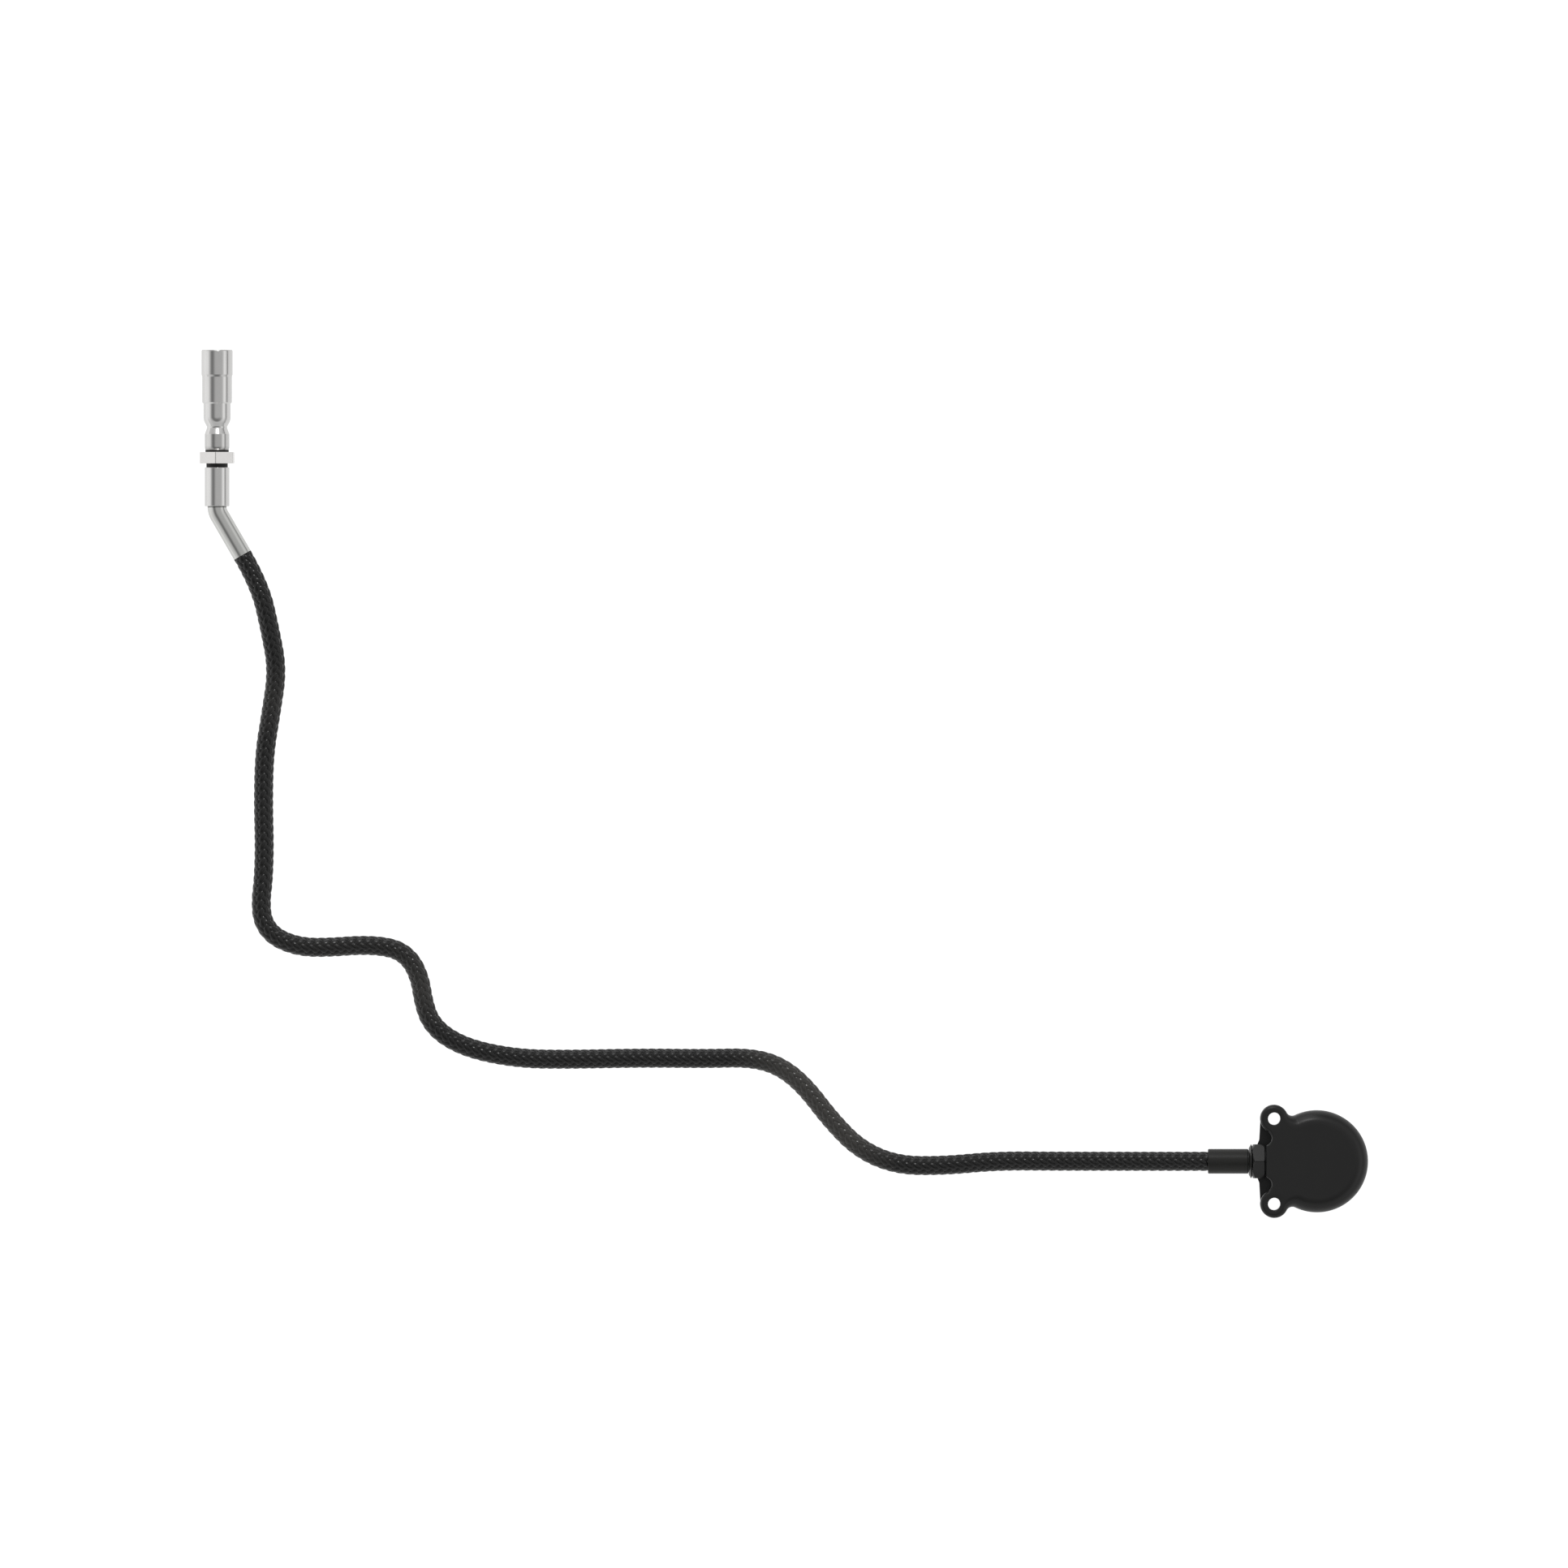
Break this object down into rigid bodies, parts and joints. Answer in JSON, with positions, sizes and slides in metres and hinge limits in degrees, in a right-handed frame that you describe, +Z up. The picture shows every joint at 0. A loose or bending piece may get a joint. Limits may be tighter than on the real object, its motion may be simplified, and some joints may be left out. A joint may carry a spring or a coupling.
{
  "type": "cable shutter release",
  "caption": "Cable shutter release: a nickel hand plunger pushes a wire through a braided cable to a round black housing, whose wedge drives a release pin out of its base.",
  "frame": {"origin": "on the housing's mounting face, midway between the two screw holes in its ears", "axes": "+X from the cable's end towards the round end of the housing, +Y across the ears on the plunger's side, +Z up, out of the surface that the housing is screwed to"},
  "size_m": [0.2974, 0.221, 0.0131],
  "materials": {
    "satin_nickel": "nickel-plated brass, turned and satin-bright",
    "plain_steel": "plain machined steel",
    "spring_steel": "drawn spring wire",
    "brass": "plain turned brass",
    "black_braid": "black woven braid of flat strands, slightly glossy",
    "black_liner": "black extruded liner",
    "black_rubber": "matt black rubber",
    "black_enamel": "satin black enamel",
    "blackened_steel": "black-finished turned steel, satin"
  },
  "bodies": {
    "fixed_parts": {"plunger_barrel": "satin_nickel", "plunger_spring": "spring_steel", "front_seal_ring": "black_rubber", "lock_nut": "satin_nickel", "rear_seal_ring": "black_rubber", "sleeve": "satin_nickel", "elbow_tube": "satin_nickel", "conduit_ferrules": "brass", "braided_sheath": "black_braid", "cable_jacket": "black_liner", "spiral_conduit": "spring_steel", "inner_wire": "spring_steel", "cable_ferrule": "blackened_steel", "gland_collar": "blackened_steel", "gland_nut": "blackened_steel", "gland_washer": "black_rubber", "gland_stud": "blackened_steel", "housing_cover": "black_enamel", "base_gasket": "black_rubber", "base_plate": "black_enamel", "cover_screws": "plain_steel", "slide_cradle": "plain_steel", "cradle_rivets": "brass", "slider_stop_pad": "black_rubber", "pin_bush": "brass", "pin_spring": "spring_steel"},
    "plunger": {"push_cap": "satin_nickel", "plunger_rod": "plain_steel", "rod_stop_ring": "plain_steel"},
    "slider": {"wedge_slider": "brass", "wire_grub_screw": "plain_steel"},
    "pin": {"release_pin": "plain_steel"}
  },
  "joints": [
    {"name": "cap_press", "type": "slide", "parent": "fixed_parts", "child": "plunger", "axis": [0, -1, 0], "range_m": [0, 0.004], "stiffness_N_per_m": 500, "springref_m": -0.004, "deforming": ["plunger_spring"]},
    {"name": "slider_travel", "type": "slide", "parent": "fixed_parts", "child": "slider", "axis": [1, 0, 0], "range_m": [0, 0.004]},
    {"name": "pin_press", "type": "slide", "parent": "fixed_parts", "child": "pin", "axis": [0, 0, -1], "range_m": [0, 0.003], "stiffness_N_per_m": 300, "springref_m": -0.003, "deforming": ["pin_spring"]}
  ],
  "couplings": [
    {"joint": "slider_travel", "follows": "cap_press", "ratio": 1},
    {"joint": "pin_press", "follows": "cap_press", "ratio": 0.75}
  ]
}
